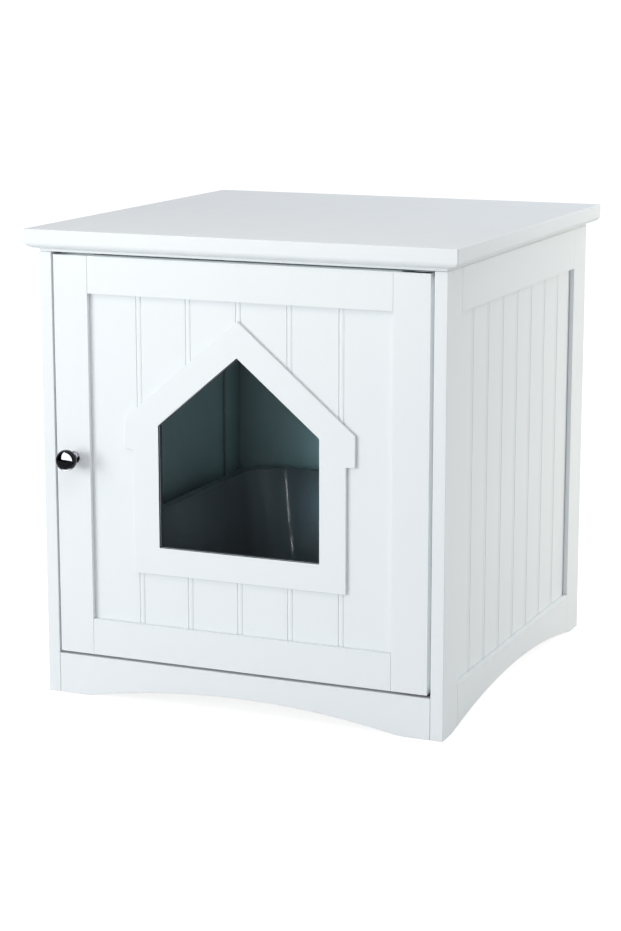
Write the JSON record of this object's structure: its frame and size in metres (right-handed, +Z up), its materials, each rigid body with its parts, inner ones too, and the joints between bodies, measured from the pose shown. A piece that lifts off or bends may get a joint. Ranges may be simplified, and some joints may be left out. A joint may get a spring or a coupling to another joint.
{
  "type": "cat litter box cabinet",
  "caption": "White painted cabinet with beaded panels and an arched base that hides a dark litter tray; its pivot-hinged door has a house-shaped entrance for a cat.",
  "frame": {"origin": "on the floor, in the middle of the whole object's outline seen from above, knob included", "axes": "+Z up, +Y from the door to the back, +X to the right of somebody who looks at the door"},
  "size_m": [0.49, 0.52, 0.512],
  "materials": {
    "white_paint": "smooth satin white paint on board",
    "back_board": "thin board with a matt white face",
    "raw_wood": "bare sawn wood",
    "steel": "plain zinc-plated steel",
    "magnet": "bare magnet face",
    "nylon": "translucent white nylon",
    "catch_plastic": "white moulded plastic",
    "chrome": "polished chrome plate",
    "tray_plastic": "dark grey moulded plastic with a slight sheen"
  },
  "bodies": {
    "cabinet": {"top_board": "white_paint", "left_front_stile": "white_paint", "left_back_stile": "white_paint", "left_top_rail": "white_paint", "left_bottom_rail": "white_paint", "left_panel": "white_paint", "right_front_stile": "white_paint", "right_back_stile": "white_paint", "right_top_rail": "white_paint", "right_bottom_rail": "white_paint", "right_panel": "white_paint", "front_skirt": "white_paint", "floor_panel": "white_paint", "back_panel": "back_board", "left_top_cleat": "raw_wood", "right_top_cleat": "raw_wood", "left_floor_cleat": "raw_wood", "right_floor_cleat": "raw_wood", "upper_pivot_plate": "steel", "lower_pivot_plate": "steel", "upper_pivot_pin": "steel", "lower_pivot_pin": "steel", "upper_pivot_plate_screw": "steel", "lower_pivot_plate_screw": "steel", "catch_screw_1": "steel", "catch_screw_2": "steel", "top_screw_1": "steel", "top_screw_2": "steel", "top_screw_3": "steel", "top_screw_4": "steel", "floor_screw_1": "steel", "floor_screw_2": "steel", "floor_screw_3": "steel", "floor_screw_4": "steel", "back_nail_1": "steel", "back_nail_2": "steel", "back_nail_3": "steel", "back_nail_4": "steel", "lower_pivot_washer": "nylon", "catch_body": "catch_plastic", "catch_magnet": "magnet"},
    "door": {"door_knob_stile": "white_paint", "door_hinge_stile": "white_paint", "door_top_rail": "white_paint", "door_bottom_rail": "white_paint", "door_panel": "white_paint", "house_trim": "white_paint", "upper_pivot_socket": "steel", "lower_pivot_socket": "steel", "upper_socket_screw": "steel", "lower_socket_screw": "steel", "strike_plate": "steel", "strike_screw": "steel", "knob": "chrome", "knob_screw": "steel"},
    "tray": {"litter_tray": "tray_plastic"}
  },
  "joints": [
    {"name": "door_hinge", "type": "hinge", "parent": "cabinet", "child": "door", "pos_m": [0.204, -0.2225, 0.048], "axis": [0, 0, 1], "range_deg": [0, 110]},
    {"name": "tray_slide", "type": "slide", "parent": "cabinet", "child": "tray", "axis": [0, 1, 0], "range_m": [-0.01, 0.021]}
  ]
}
